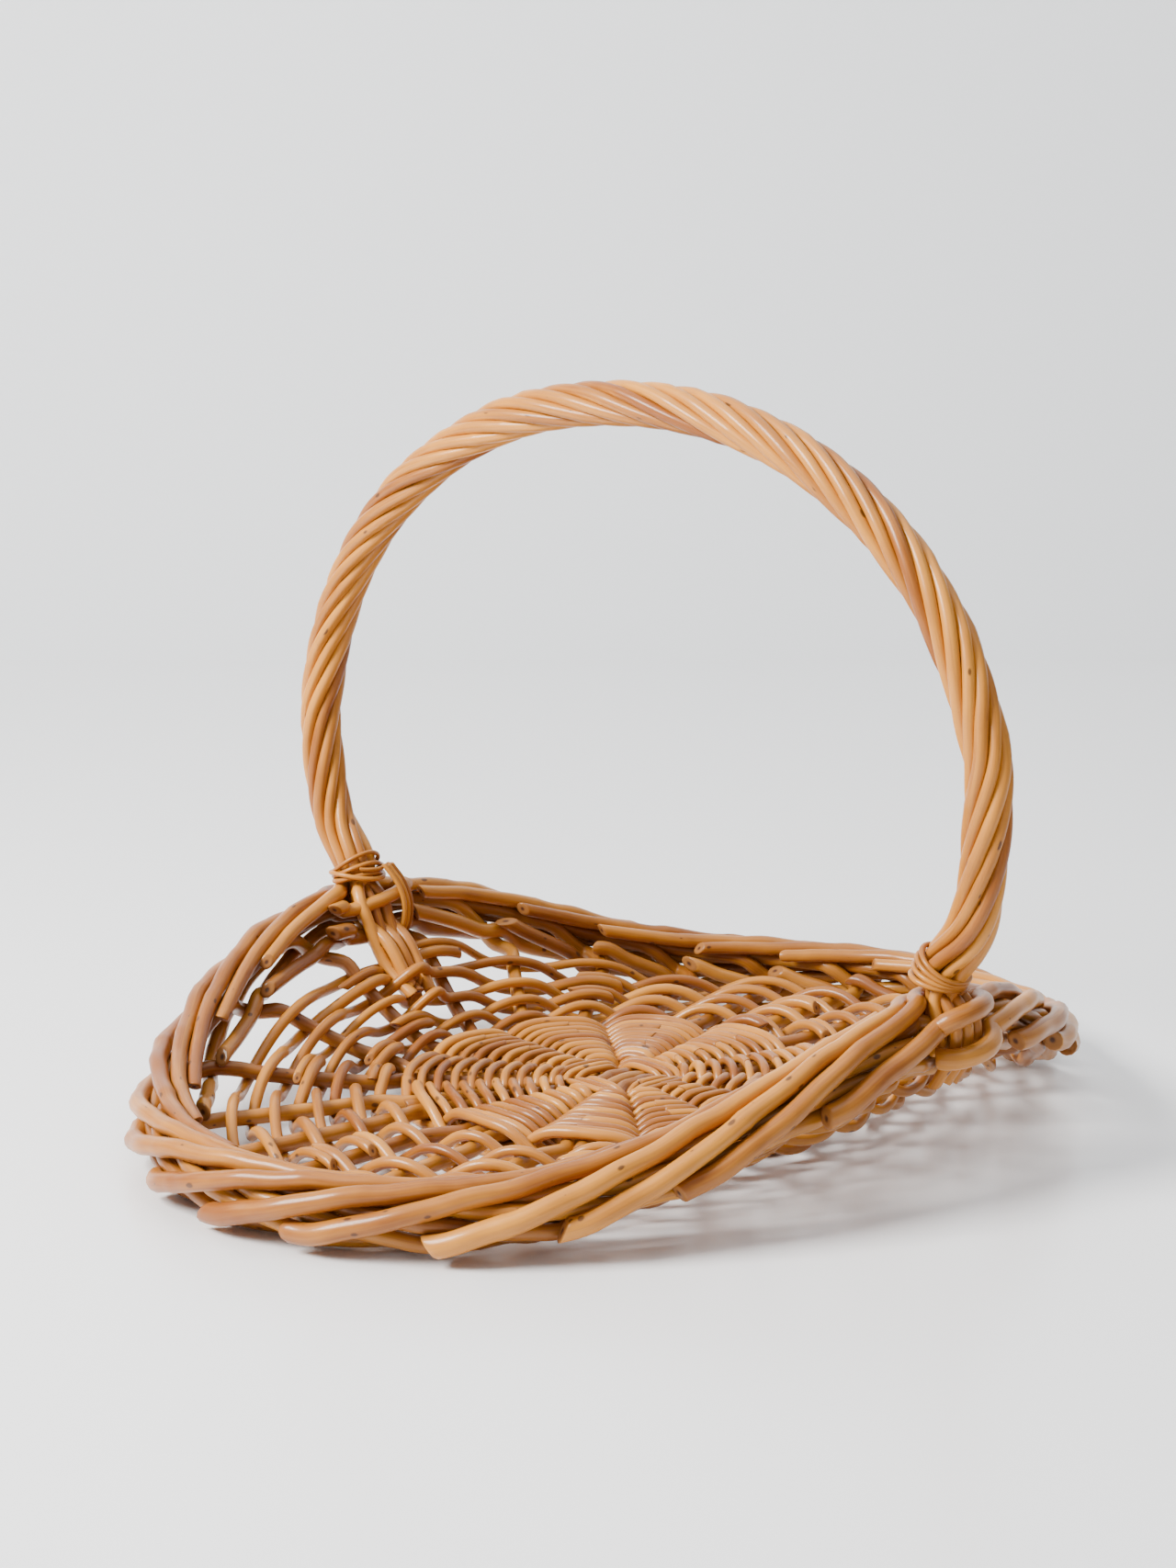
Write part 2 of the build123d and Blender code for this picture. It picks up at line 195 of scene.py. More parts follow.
def rim_point(azimuth):
    """Middle of the border."""
    turn = np.radians(np.asarray(azimuth, float))
    rise = (FOOT_HEIGHT - END_HEIGHT) * np.abs(np.sin(turn)) ** RIM_RISE_POWER
    across = RIM_LENGTH / 2 * np.cos(turn)
    return np.stack([across, RIM_WIDTH / 2 * np.sin(turn), END_HEIGHT + rise], axis=-1)


def rim_outward(azimuth):
    turn = np.radians(np.asarray(azimuth, float))
    flat = np.zeros_like(turn)
    return unit(np.stack([RIM_WIDTH * np.cos(turn), RIM_LENGTH * np.sin(turn), flat], axis=-1))


def wall_point(azimuth, share):
    """Middle of the woven wall, from the base's edge (0) to under the border (1)."""
    azimuth = np.asarray(azimuth, float)
    share = (np.asarray(share, float) * np.ones_like(azimuth))[..., None]
    foot = polar(BASE_RADIUS, azimuth, BASE_MIDDLE + SIDE_LIFT)
    top = rim_point(azimuth) + rim_outward(azimuth) * ROLL_RADIUS * math.cos(WALL_TOP_ANGLE)
    top = top + Z * ROLL_RADIUS * math.sin(WALL_TOP_ANGLE)
    flat = foot + (top - foot) * share
    height = foot[..., 2:] + (top - foot)[..., 2:] * share**WALL_CURVE_POWER
    return np.concatenate([flat[..., :2], height], axis=-1)


def wall_rise(azimuth, share):
    return wall_point(azimuth, share + SHARE_PROBE) - wall_point(azimuth, share - SHARE_PROBE)


def wall_inward(azimuth, share):
    """Direction square to the wall, towards the inside of the tray."""
    azimuth = np.asarray(azimuth, float)
    along = wall_point(azimuth + AZIMUTH_PROBE, share) - wall_point(azimuth - AZIMUTH_PROBE, share)
    return unit(np.cross(wall_rise(azimuth, share), along))


def border_point(azimuth, outward, up):
    """A place beside the middle of the border, in its cross-section."""
    outward = np.asarray(outward, float)[..., None]
    sink = BORDER_SINK * (1 - np.abs(np.sin(np.radians(azimuth))) ** RIM_RISE_POWER)
    height = (np.asarray(up, float) - sink)[..., None]
    return rim_point(azimuth) + rim_outward(azimuth) * outward + Z * height


def smooth_line(points, spacing=RING_SPACING):
    """A smooth line through a few points, evenly divided."""
    points = np.asarray(points, float)
    if len(points) == 2:
        count = max(2, int(np.linalg.norm(points[1] - points[0]) / spacing) + 1)
        share = np.linspace(0, 1, count)[:, None]
        return points[0] + (points[1] - points[0]) * share
    padded = np.vstack([2 * points[0] - points[1], points, 2 * points[-1] - points[-2]])
    pieces = []
    for before, start, end, after in zip(padded, padded[1:], padded[2:], padded[3:]):
        t = np.linspace(0, 1, LINE_STEPS, endpoint=False)[:, None]
        curve = (
            2 * start + (end - before) * t + (2 * before - 5 * start + 4 * end - after) * t**2
            + (3 * start - before - 3 * end + after) * t**3
        )
        pieces.append(curve / 2)
    return even(np.vstack(pieces + [points[-1:]]), spacing)


def even(points, spacing=RING_SPACING):
    """The same line with its points an even distance apart."""
    steps = np.linalg.norm(np.diff(points, axis=0), axis=1)
    travelled = np.concatenate([[0], np.cumsum(steps)])
    count = max(4, int(travelled[-1] / spacing) + 1)
    marks = np.linspace(0, travelled[-1], count)
    return np.stack([np.interp(marks, travelled, points[:, axis]) for axis in range(3)], axis=1)


def soften(values, passes):
    """Evens out values along a line and keeps its ends."""
    values = values.copy()
    for _ in range(passes):
        values[1:-1] = (values[:-2] + 2 * values[1:-1] + values[2:]) / 4
    return values


def ease(low, high, value):
    share = np.clip((value - low) / (high - low), 0, 1)
    return share * share * (3 - 2 * share)


def near(azimuth, middle, width):
    away = (np.asarray(azimuth, float) - middle + 180) % 360 - 180
    return np.exp(-((away / width) ** 2))


# ---- rods ----
class Rod:
    """One willow rod: its line, its thickness along it, and its own tone."""

    def __init__(self, points, butt, tip, chance, crooked=0.0, slopes=(0.5, 0.5)):
        self.points = np.asarray(points, float)
        count = len(self.points)
        share = np.linspace(0, 1, count)
        self.radii = (butt + (tip - butt) * share) / 2
        length = np.linalg.norm(np.diff(self.points, axis=0), axis=1).sum()
        for joint in np.arange(chance.uniform(0.01, 0.06), length, JOINT_PITCH):
            place = (joint + chance.uniform(-JOINT_WANDER, JOINT_WANDER)) / length
            swelling = np.exp(-(((share - place) * length / JOINT_LENGTH) ** 2))
            self.radii *= 1 + chance.uniform(*JOINT_SWELLING) * swelling
        if crooked:
            wander = chance.normal(0, 1, (count, 3))
            wander = soften(wander, 60) if count > 30 else soften(wander, 20)
            spread = np.abs(wander).max() or 1
            fade = np.minimum(1, 4 * np.minimum(share, 1 - share))[:, None]
            self.points = self.points + wander / spread * crooked * fade
        self.tone = chance.uniform(0, 1)
        self.start = chance.uniform(0, 5)
        self.spin = chance.uniform(0, 2 * math.pi)
        self.slopes = slopes
        self.lean = chance.uniform(0, 2 * math.pi)
        self.tall = np.ones(count)


def ring_frames(points):
    """Two directions across the line at each of its points, turning as little as they can."""
    along = unit(np.gradient(points, axis=0))
    across = np.empty_like(along)
    helper = Z if abs(along[0] @ Z) < 0.9 else X
    across[0] = unit(np.cross(along[0], helper))
    for number in range(1, len(points)):
        carried = across[number - 1] - along[number] * (across[number - 1] @ along[number])
        across[number] = unit(carried)
    return along, across, np.cross(along, across)


def rod_rings(rod):
    """The rod's skin as rings of corners, with its two sloping cuts."""
    along, across, upward = ring_frames(rod.points)
    turn = np.linspace(0, 2 * math.pi, ROD_SIDES, endpoint=False) + rod.spin
    offsets = across[:, None] * np.cos(turn)[None, :, None]
    offsets = (offsets + upward[:, None] * np.sin(turn)[None, :, None]) * rod.radii[:, None, None]
    offsets[..., 2] *= rod.tall[:, None]
    travelled = np.concatenate(
        [[0], np.cumsum(np.linalg.norm(np.diff(rod.points, axis=0), axis=1))]
    )
    tilt = np.cos(turn - rod.lean)
    shift = np.zeros(offsets.shape[:2])
    for slope, from_end, radius, sign in (
        (rod.slopes[0], travelled, rod.radii[0], -1),
        (rod.slopes[1], travelled[-1] - travelled, rod.radii[-1], 1),
    ):
        reach = max(2.5 * radius * slope, 1e-6)
        shift += sign * np.clip(1 - from_end / reach, 0, 1)[:, None] * tilt * radius * slope
    return rod.points[:, None] + offsets + along[:, None] * shift[..., None], travelled


# rings of a cut end: their share of its radius and how far they bulge
CAP_RINGS = ((0.93, 0.35), (0.62, 0.42), (0.26, 0.42), (0.0, 0.30))


def rods_mesh(name, rods):
    """One mesh of many rods, with UVs in metres, a tone and marks for the cut ends."""
    corners, faces, uvs, tones, cuts = [], [], [], [], []
    caps = len(CAP_RINGS)
    first = 0
    for rod in rods:
        rings, travelled = rod_rings(rod)
        count = len(rings)
        ends = []
        for end, sign in ((0, -1), (count - 1, 1)):
            middle = rings[end].mean(axis=0)
            heading = unit(rod.points[end] - rod.points[end - sign])
            for share, lift in CAP_RINGS:
                bulge = heading * (lift * rod.radii[end] * 0.5)
                ends.append(middle + (rings[end] - middle) * share + bulge)
        skin = np.vstack([rings.reshape(-1, 3)] + ends)
        corners.append(skin)
        front = [0] + [count + number for number in range(caps)]
        back = [count - 1] + [count + caps + number for number in range(caps)]
        strips = [(number, number + 1) for number in range(count - 1)]
        strips += [(b, a) for a, b in zip(front, front[1:])]
        strips += [(a, b) for a, b in zip(back, back[1:])]
        side = np.arange(ROD_SIDES)
        following = (side + 1) % ROD_SIDES
        strips = np.array(strips)
        near_ring, far_ring = strips[:, :1] * ROD_SIDES, strips[:, 1:] * ROD_SIDES
        quads = np.stack(
            [near_ring + side, near_ring + following, far_ring + following, far_ring + side],
            axis=-1)
        faces.append(quads.reshape(-1, 4) + first)
        ring_place = np.concatenate([travelled, np.zeros(caps), np.full(caps, travelled[-1])])
        girth = 2 * math.pi * rod.radii.mean()
        u_low = np.tile(side / ROD_SIDES * girth, len(strips))
        u_high = np.tile((side + 1) / ROD_SIDES * girth, len(strips))
        v_low = np.repeat(ring_place[strips[:, 0]], ROD_SIDES) + rod.start
        v_high = np.repeat(ring_place[strips[:, 1]], ROD_SIDES) + rod.start
        square = [u_low, v_low, u_high, v_low, u_high, v_high, u_low, v_high]
        uvs.append(np.stack(square, axis=-1).reshape(-1, 2))
        tones.append(np.full(len(skin), rod.tone))
        cut = np.zeros((len(skin) // ROD_SIDES, ROD_SIDES))
        for number, (share, _) in enumerate(CAP_RINGS):
            mark = 1 - 0.5 * share
            cut[count + number] = mark
            cut[count + caps + number] = mark
        cuts.append(cut.ravel())
        first += len(skin)
    corners, faces, uvs = np.vstack(corners), np.vstack(faces), np.vstack(uvs)
    mesh = bpy.data.meshes.new(name)
    mesh.vertices.add(len(corners))
    mesh.vertices.foreach_set("co", corners.ravel())
    mesh.loops.add(faces.size)
    mesh.loops.foreach_set("vertex_index", faces.ravel())
    mesh.polygons.add(len(faces))
    mesh.polygons.foreach_set("loop_start", np.arange(0, faces.size, 4))
    mesh.polygons.foreach_set("use_smooth", np.ones(len(faces), bool))
    mesh.uv_layers.new(name="grain").data.foreach_set("uv", uvs.ravel())
    for label, values in (("tone", tones), ("cut_wood", cuts)):
        layer = mesh.attributes.new(label, "FLOAT", "POINT")
        layer.data.foreach_set("value", np.concatenate(values))
    mesh.update(calc_edges=True)
    mesh.validate()
    return mesh


def place_rods(node_name, rods, material, suffix="_willow"):
    """Adds the rods as one piece that stands for its CAD node."""
    name = node_name + suffix
    piece = bpy.data.objects.new(name, rods_mesh(name, rods))
    piece.data.materials.append(material)
    bpy.context.scene.collection.objects.link(piece)
    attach(piece, "root")
    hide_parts(node_name)


SETTLE_REACH = 4 * MM
SETTLE_PACE = 2.0
ROUNDS_BETWEEN_SEARCHES = 8


def settle(rods, mobility, rounds):
    """Lets rods that lie in each other push apart until they only touch."""
    lines = [rod.points for rod in rods]
    owner = np.concatenate([np.full(len(line), number) for number, line in enumerate(lines)])
    radii = np.concatenate([rod.radii for rod in rods])
    give = np.concatenate(mobility)
    starts = np.cumsum([0] + [len(line) for line in lines])
    places = np.concatenate(lines)
    reach = radii.max() * 2 + SETTLE_REACH
    for step in range(rounds):
        if step % ROUNDS_BETWEEN_SEARCHES == 0:
            tree = kdtree.KDTree(len(places))
            for number, place in enumerate(places):
                tree.insert(place, number)
            tree.balance()
            found = []
            for number, place in enumerate(places):
                if give[number] > 0:
                    found += [(number, other) for _, other, _ in tree.find_range(place, reach)]
            pairs = np.array(found)
            pairs = pairs[owner[pairs[:, 0]] != owner[pairs[:, 1]]]
        mine, other = pairs[:, 0], pairs[:, 1]
        apart = places[mine] - places[other]
        distance = np.maximum(np.linalg.norm(apart, axis=1), 1e-6)
        deep = radii[mine] + radii[other] + TOUCH - distance
        touching = deep > 0
        mine, other, deep = mine[touching], other[touching], deep[touching]
        share = give[mine] / (give[mine] + give[other])
        push = apart[touching] / distance[touching][:, None] * (deep * share)[:, None]
        moves = np.zeros_like(places)
        weight = np.zeros(len(places))
        np.add.at(moves, mine, push)
        np.add.at(weight, mine, 1)
        moves /= np.maximum(weight, 1)[:, None]
        for start, end in zip(starts, starts[1:]):
            if give[start:end].max() > 0:
                spread = soften(moves[start:end], 10)
                places[start:end] += SETTLE_PACE * spread * (give[start:end] > 0)[:, None]
    for rod, start, end in zip(rods, starts, starts[1:]):
        rod.points = places[start:end]


# ---- willow material ----
def node(tree, kind, place, **settings):
    made = tree.nodes.new(kind)
    made.location = (place[0] * 190, place[1] * -170)
    for name, value in settings.items():
        setattr(made, name, value)
    return made


def ranged(tree, place, source, low, high, to_low=0.0, to_high=1.0):
    """A value carried from one range to another and held at its ends."""
    made = node(tree, "ShaderNodeMapRange", place)
    for name, value in (
        ("From Min", low), ("From Max", high), ("To Min", to_low), ("To Max", to_high)
    ):
        made.inputs[name].default_value = value
    tree.links.new(source, made.inputs["Value"])
    return made.outputs[0]


def multiplied(tree, place, source, factor, more):
    """One value times a factor, plus another."""
    made = node(tree, "ShaderNodeMath", place, operation="MULTIPLY_ADD")
    tree.links.new(source, made.inputs[0])
    made.inputs[1].default_value = factor
    tree.links.new(more, made.inputs[2])
    return made.outputs[0]


def blended(tree, place, factor, first, second):
    """One colour turned into another by a mask."""
    made = node(tree, "ShaderNodeMix", place, data_type="RGBA")
    tree.links.new(factor, made.inputs["Factor"])
    tree.links.new(first, made.inputs["A"])
    tree.links.new(second, made.inputs["B"])
    return made.outputs["Result"]


def scaled_texture(tree, row, kind, source, scale, **settings):
    """A texture along the rod, with its own scale round the rod and along it."""
    mapping = node(tree, "ShaderNodeMapping", (1, row))
    mapping.inputs["Scale"].default_value = (*scale, 1)
    made = node(tree, kind, (2, row), **settings)
    made.inputs["Scale"].default_value = 1
    tree.links.new(source, mapping.inputs["Vector"])
    tree.links.new(mapping.outputs[0], made.inputs["Vector"])
    return made


def willow_group():
    """Grain, specks, scars and cut ends of varnished willow, made once."""
    if "Willow skin" in bpy.data.node_groups:
        return bpy.data.node_groups["Willow skin"]
    group = bpy.data.node_groups.new("Willow skin", "ShaderNodeTree")
    for label in ("Honey", "Amber", "Bark", "Cut end", "Pith"):
        group.interface.new_socket(label, in_out="INPUT", socket_type="NodeSocketColor")
    group.interface.new_socket("Specks", in_out="INPUT", socket_type="NodeSocketFloat")
    group.interface.new_socket("Color", in_out="OUTPUT", socket_type="NodeSocketColor")
    group.interface.new_socket("Roughness", in_out="OUTPUT", socket_type="NodeSocketFloat")
    group.interface.new_socket("Height", in_out="OUTPUT", socket_type="NodeSocketFloat")
    link = group.links.new
    source = node(group, "NodeGroupInput", (0, 0))
    out = node(group, "NodeGroupOutput", (9, 0))
    uv = node(group, "ShaderNodeUVMap", (0, 2), uv_map="grain").outputs[0]
    tone = node(group, "ShaderNodeAttribute", (0, 4), attribute_name="tone").outputs["Fac"]
    cut = node(group, "ShaderNodeAttribute", (0, 5), attribute_name="cut_wood").outputs["Fac"]

    # long streaks that run along the rod, and broad clouds of darker varnish
    streaks = scaled_texture(group, 2, "ShaderNodeTexNoise", uv, (900, 26))
    streaks.inputs["Detail"].default_value = 3
    clouds = scaled_texture(group, 3, "ShaderNodeTexNoise", uv, (70, 22))
    clouds.inputs["Detail"].default_value = 4

    # tone of this rod, its clouds and its streaks together
    depth = multiplied(group, (3, 3), tone, 0.55, clouds.outputs["Fac"])
    depth = multiplied(group, (4, 3), streaks.outputs["Fac"], 0.45, depth)
    tint = ranged(group, (5, 3), depth, 0.60, 1.30)
    wood = blended(group, (6, 2), tint, source.outputs["Honey"], source.outputs["Amber"])

    # small dark specks of several sizes
    cells = scaled_texture(
        group, 6, "ShaderNodeTexVoronoi", uv, (150, 85), voronoi_dimensions="2D")
    chosen = node(group, "ShaderNodeSeparateColor", (3, 6))
    link(cells.outputs["Color"], chosen.inputs[0])
    inside = node(group, "ShaderNodeMath", (5, 6), operation="SUBTRACT")
    link(ranged(group, (4, 6), chosen.outputs[0], 0.80, 1.0, 0.0, 0.19), inside.inputs[0])
    link(cells.outputs["Distance"], inside.inputs[1])
    speck = ranged(group, (6, 6), inside.outputs[0], -0.03, 0.05)
    amount = node(group, "ShaderNodeMath", (7, 6), operation="MULTIPLY")
    link(speck, amount.inputs[0])
    link(source.outputs["Specks"], amount.inputs[1])
    spotted = blended(group, (7, 2), amount.outputs[0], wood, source.outputs["Bark"])

    # a cut end is plain wood round a dark pith
    pith = ranged(group, (6, 5), cut, 0.80, 0.92)
    face = blended(group, (7, 4), pith, source.outputs["Cut end"], source.outputs["Pith"])
    edge = ranged(group, (6, 4), cut, 0.25, 0.55)
    link(blended(group, (8, 2), edge, spotted, face), out.inputs["Color"])

    # cut ends are duller than the varnish, and specks stand out a little
    rough = ranged(group, (7, 0), clouds.outputs["Fac"], 0.0, 1.0, 0.34, 0.56)
    link(multiplied(group, (8, 0), edge, 0.3, rough), out.inputs["Roughness"])
    height = multiplied(group, (7, 7), speck, 0.8, streaks.outputs["Fac"])
    link(height, out.inputs["Height"])
    return group


def shaded(colour, factor):
    return tuple(channel * factor for channel in colour) + (1.0,)


def willow(name, shade=1.0, specks=0.8):
    """Varnished willow, a little lighter or darker than the rest, made once."""
    if name in bpy.data.materials:
        return bpy.data.materials[name]
    finish = bpy.context.scene.basket_finish
    material = bpy.data.materials.new(name)
    material.use_nodes = True
    tree = material.node_tree
    shader = tree.nodes["Principled BSDF"]
    skin = node(tree, "ShaderNodeGroup", (-3, 0), node_tree=willow_group())
    skin.inputs["Honey"].default_value = shaded(finish.honey, shade)
    skin.inputs["Amber"].default_value = shaded(finish.amber, shade)
    skin.inputs["Bark"].default_value = shaded(finish.bark, 1)
    skin.inputs["Cut end"].default_value = shaded(finish.cut, shade)
    skin.inputs["Pith"].default_value = shaded(finish.pith, shade)
    skin.inputs["Specks"].default_value = specks
    bump = node(tree, "ShaderNodeBump", (-1, 2))
    bump.inputs["Strength"].default_value = 0.35
    bump.inputs["Distance"].default_value = 0.2 * MM
    link = tree.links.new
    link(skin.outputs["Color"], shader.inputs["Base Color"])
    link(skin.outputs["Roughness"], shader.inputs["Roughness"])
    link(skin.outputs["Height"], bump.inputs["Height"])
    link(bump.outputs[0], shader.inputs["Normal"])
    shader.inputs["Coat Weight"].default_value = finish.gloss
    shader.inputs["Coat Roughness"].default_value = 0.16
    shader.inputs["Coat IOR"].default_value = 1.5
    shader.inputs["Specular IOR Level"].default_value = 0.25
    return material


# ---- base ----
def twined(radius_at, azimuths, period, reach, twist, sign, hug):
    """One of the two rods of a twined round: over a spoke, down, and under the next."""
    phase = np.radians(azimuths * period)
    height = sign * reach * np.tanh(hug * np.cos(phase)) / math.tanh(hug)
    outward = sign * twist * np.sin(phase)
    flat = polar(1.0, azimuths, 0.0) * (radius_at(azimuths) + outward)[:, None]
    return flat + Z * (BASE_MIDDLE + height)[:, None]


def pieced(line_of, cuts, butt, tip, chance, crooked, ends):
    """Rods laid one after another along a round, each starting where the last one stops."""
    rods = []
    for number, start in enumerate(cuts):
        end = cuts[(number + 1) % len(cuts)]
        if end <= start:
            end += 360
        azimuths = np.arange(start - ends, end + ends, 0.6)
        rods.append(Rod(even(line_of(azimuths)), butt, tip, chance, crooked, slopes=(0.6, 0.9)))
    return rods


def stick_line(place, across):
    """A base stick through the hub, opened out if it is an outer one."""
    side = np.sign(place)
    end = polar(STICK_HALF_LENGTH, side * SPOKE_STEP, BASE_MIDDLE)
    if side == 0:
        points = [(-STICK_HALF_LENGTH, 0, BASE_MIDDLE), (STICK_HALF_LENGTH, 0, BASE_MIDDLE)]
    else:
        hub = HUB_HALF_LENGTH
        points = [
            (-end[0], end[1], BASE_MIDDLE),
            (-hub - (end[0] - hub) / 2, (place + end[1]) / 2, BASE_MIDDLE),
            (-hub * 0.9, place * 1.02, BASE_MIDDLE), (0, place, BASE_MIDDLE),
            (hub * 0.9, place * 1.02, BASE_MIDDLE),
            (hub + (end[0] - hub) / 2, (place + end[1]) / 2, BASE_MIDDLE),
            (end[0], end[1], BASE_MIDDLE),
        ]
    points = np.array(points)
    if across:
        points = np.stack([-points[:, 1], points[:, 0], points[:, 2]], axis=1)
    return smooth_line(points)


class BASKET_OT_base_sticks(bpy.types.Operator):
    """Three slit sticks and the three pushed through them"""

    bl_idname = "basket.base_sticks"
    bl_label = "Base sticks"

    def execute(self, context):
        chance = np.random.default_rng(STICK_SEED)
        material = willow("varnished_hub_willow", 0.8, 0.6)
        for number in range(3):
            place = (number - 1) * HUB_SPACING
            rod = Rod(stick_line(place, False), SPLIT_STICK, SPLIT_STICK * 0.97, chance)
            knuckle = np.clip(1 - (rod.points[:, 0] / (KNUCKLE_LENGTH / 2)) ** 2, 0, 1)
            rod.tall = np.maximum(KNUCKLE_HEIGHT / SPLIT_STICK * np.sqrt(knuckle), 1)
            place_rods(f"split_stick_{number + 1}", [rod], material)
            rod = Rod(stick_line(place, True), THROUGH_STICK, THROUGH_STICK * 0.97, chance)
            place_rods(f"through_stick_{number + 1}", [rod], material)
        return {"FINISHED"}


TIE_SIDES = (15.6 * MM, 20.8 * MM, 26.0 * MM)
TIE_SQUARENESS = (9, 5, 3)
FIRST_ROUND = 31.5 * MM
ROUND_PITCH = 7.3 * MM
LAST_ROUND = WALE_RADIUS - 6.5 * MM
# how far a twined rod swings aside, in thicknesses, and how closely it hugs the spokes
TIE_TWIST, TIE_HUG = 0.4, 2.6
ROUND_TWIST, ROUND_HUG = 0.38, 2.0
WALE_TWIST, WALE_HUG = 0.42, 1.8


def tie_rods(thick, chance):
    rods = []
    reach = (SPLIT_STICK + thick * 0.8) / 2 + TOUCH
    for half_side, squareness in zip(TIE_SIDES, TIE_SQUARENESS):
        def squared(azimuths, half_side=half_side, power=squareness):
            turn = np.radians(azimuths)
            across, up = np.abs(np.cos(turn)), np.abs(np.sin(turn))
            return half_side / (across**power + up**power) ** (1 / power)

        for sign in (1, -1):
            def line(azimuths, sign=sign, squared=squared):
                return twined(squared, azimuths, 2, reach, thick * TIE_TWIST, sign, TIE_HUG)

            cuts = [chance.uniform(0, 360)]
            rods += pieced(line, cuts, thick * 0.85, thick * 0.7, chance, 0.3 * MM, 0)
    return rods


def round_rods(thick, chance):
    rods = []
    reach = (SPLIT_STICK + thick) / 2 + TOUCH
    count = int((LAST_ROUND - FIRST_ROUND) / ROUND_PITCH) + 1
    pitch = (LAST_ROUND - FIRST_ROUND) / (count - 1)
    for number in range(count):
        radius = FIRST_ROUND + pitch * number
        for sign in (1, -1):
            def line(azimuths, sign=sign, radius=radius):
                sway = 0.5 * MM * np.sin(np.radians(azimuths * 3 + radius * 9e4))
                return twined(lambda _: radius + sway, azimuths, SPOKES / 2, reach,
                              thick * ROUND_TWIST, sign, ROUND_HUG)

            spoke = SPOKE_STEP * (2 * chance.integers(0, 6) + (sign < 0))
            cuts = [spoke % 360, (spoke + 120) % 360, (spoke + 240) % 360]
            pieces = 1 if number < 3 else (2 if number < 6 else 3)
            overlap = 5 * FIRST_ROUND / radius
            rods += pieced(
                line, sorted(cuts[:pieces]), thick * chance.uniform(1.0, 1.12), thick * 0.86,
                chance, 0.35 * MM, overlap)
    return rods


def wale_rods(chance):
    rods = []
    for sign in (1, -1):
        def line(azimuths, sign=sign):
            flat = np.full_like(azimuths, WALE_RADIUS)
            return twined(lambda _: flat, azimuths, SPOKES / 2, WALE_REACH,
                          WALE * WALE_TWIST, sign, WALE_HUG)

        cuts = [15.0, 135.0, 255.0] if sign > 0 else [75.0, 195.0, 315.0]
        rods += pieced(line, cuts, WALE * 1.02, WALE * 0.85, chance, 0.0, 4)
    for rod in rods:
        rod.points[:, 2] = np.maximum(rod.points[:, 2], rod.radii)
    return rods


@lru_cache(maxsize=1)
def base_rods(thick):
    """The rods of the tie, of the rounds and of the wale, drawn from one run of chances."""
    chance = np.random.default_rng(BASE_SEED)
    return tie_rods(thick, chance), round_rods(thick, chance), wale_rods(chance)


def place_base_weaving(context, number, node_name):
    rods = base_rods(context.scene.basket_rods.base_weaver)[number]
    material = willow("varnished_base_weave_willow")
    place_rods(node_name, rods, material)
    return {"FINISHED"}


class BASKET_OT_slath_tie(bpy.types.Operator):
    """The thin rods that tie the hub"""

    bl_idname = "basket.slath_tie"
    bl_label = "Hub tie"

    def execute(self, context):
        return place_base_weaving(context, 0, "slath_tie")


class BASKET_OT_base_weave(bpy.types.Operator):
    """The twined rounds of the base"""

    bl_idname = "basket.base_weave"
    bl_label = "Base rounds"

    def execute(self, context):
        return place_base_weaving(context, 1, "base_weave")


class BASKET_OT_foot_wale(bpy.types.Operator):
    """The thicker round that the basket stands on"""

    bl_idname = "basket.foot_wale"
    bl_label = "Foot round"

    def execute(self, context):
        return place_base_weaving(context, 2, "foot_wale")


# ---- stakes and border ----
STAKE_WALL_SHARES = (0.14, 0.35, 0.58, 0.78, 0.93)
# round the rim from the stake or the butt, and round the border: 0 is outermost, 90 the top
TAIL_AZIMUTHS = (7, 14, 24, 34, 44, 53, 61, 69, 76)
TAIL_ANGLES = (118, 80, 38, 0, -38, -80, -122, -158, -184)
TAIL_START_WIDE = 3 * MM
TAIL_WIDE = 9.0 * MM
TAIL_INSIDE = 13.0 * MM
TAIL_HIGH = 6.0 * MM
TAIL_LOW = 10.5 * MM
BUTT_AZIMUTHS = (0, 6, 12, 18, 26, 35, 45, 56)
BUTT_ANGLES = (-32, -10, 14, 38, 64, 86, 102, 122)
BUTT_WIDE = 15.0 * MM
BUTT_HIGH = 12.0 * MM


def stake_line(number):
    """A side stake from beside its base stick, up the wall and along the border."""
    azimuth = STAKE_AZIMUTHS[number]
    spoke = math.floor(number / 2 + 0.5) * SPOKE_STEP
    side = 1 if azimuth > spoke else -1
    lean = math.radians(spoke)
    outward = np.array([math.cos(lean), math.sin(lean), 0])
    beside = np.array([-math.sin(lean), math.cos(lean), 0])
    points = [
        outward * radius + beside * side * STAKE_OFFSET + Z * BASE_MIDDLE
        for radius in (STAKE_START_RADIUS, WALE_RADIUS - 6 * MM, WALE_RADIUS + 4 * MM)
    ]
    points += [wall_point(azimuth, share) for share in STAKE_WALL_SHARES]
    points.append(border_point(azimuth + 2.5, 0, -7 * MM))
    for turn, angle in zip(TAIL_AZIMUTHS, TAIL_ANGLES):
        lean = math.radians(angle)
        wide = TAIL_WIDE if math.cos(lean) > 0 else TAIL_INSIDE
        high = TAIL_HIGH if math.sin(lean) > 0 else TAIL_LOW
        if turn == TAIL_AZIMUTHS[0]:
            wide = TAIL_START_WIDE
        points.append(border_point(azimuth + turn, wide * math.cos(lean), high * math.sin(lean)))
    return smooth_line(points)


def butt_line(start):
    """A border rod from its butt outside, up over the top and down the inside."""
    points = []
    for turn, angle in zip(BUTT_AZIMUTHS, BUTT_ANGLES):
        lean = math.radians(angle)
        points.append(
            border_point(start + turn, BUTT_WIDE * math.cos(lean), BUTT_HIGH * math.sin(lean)))
    return smooth_line(points)


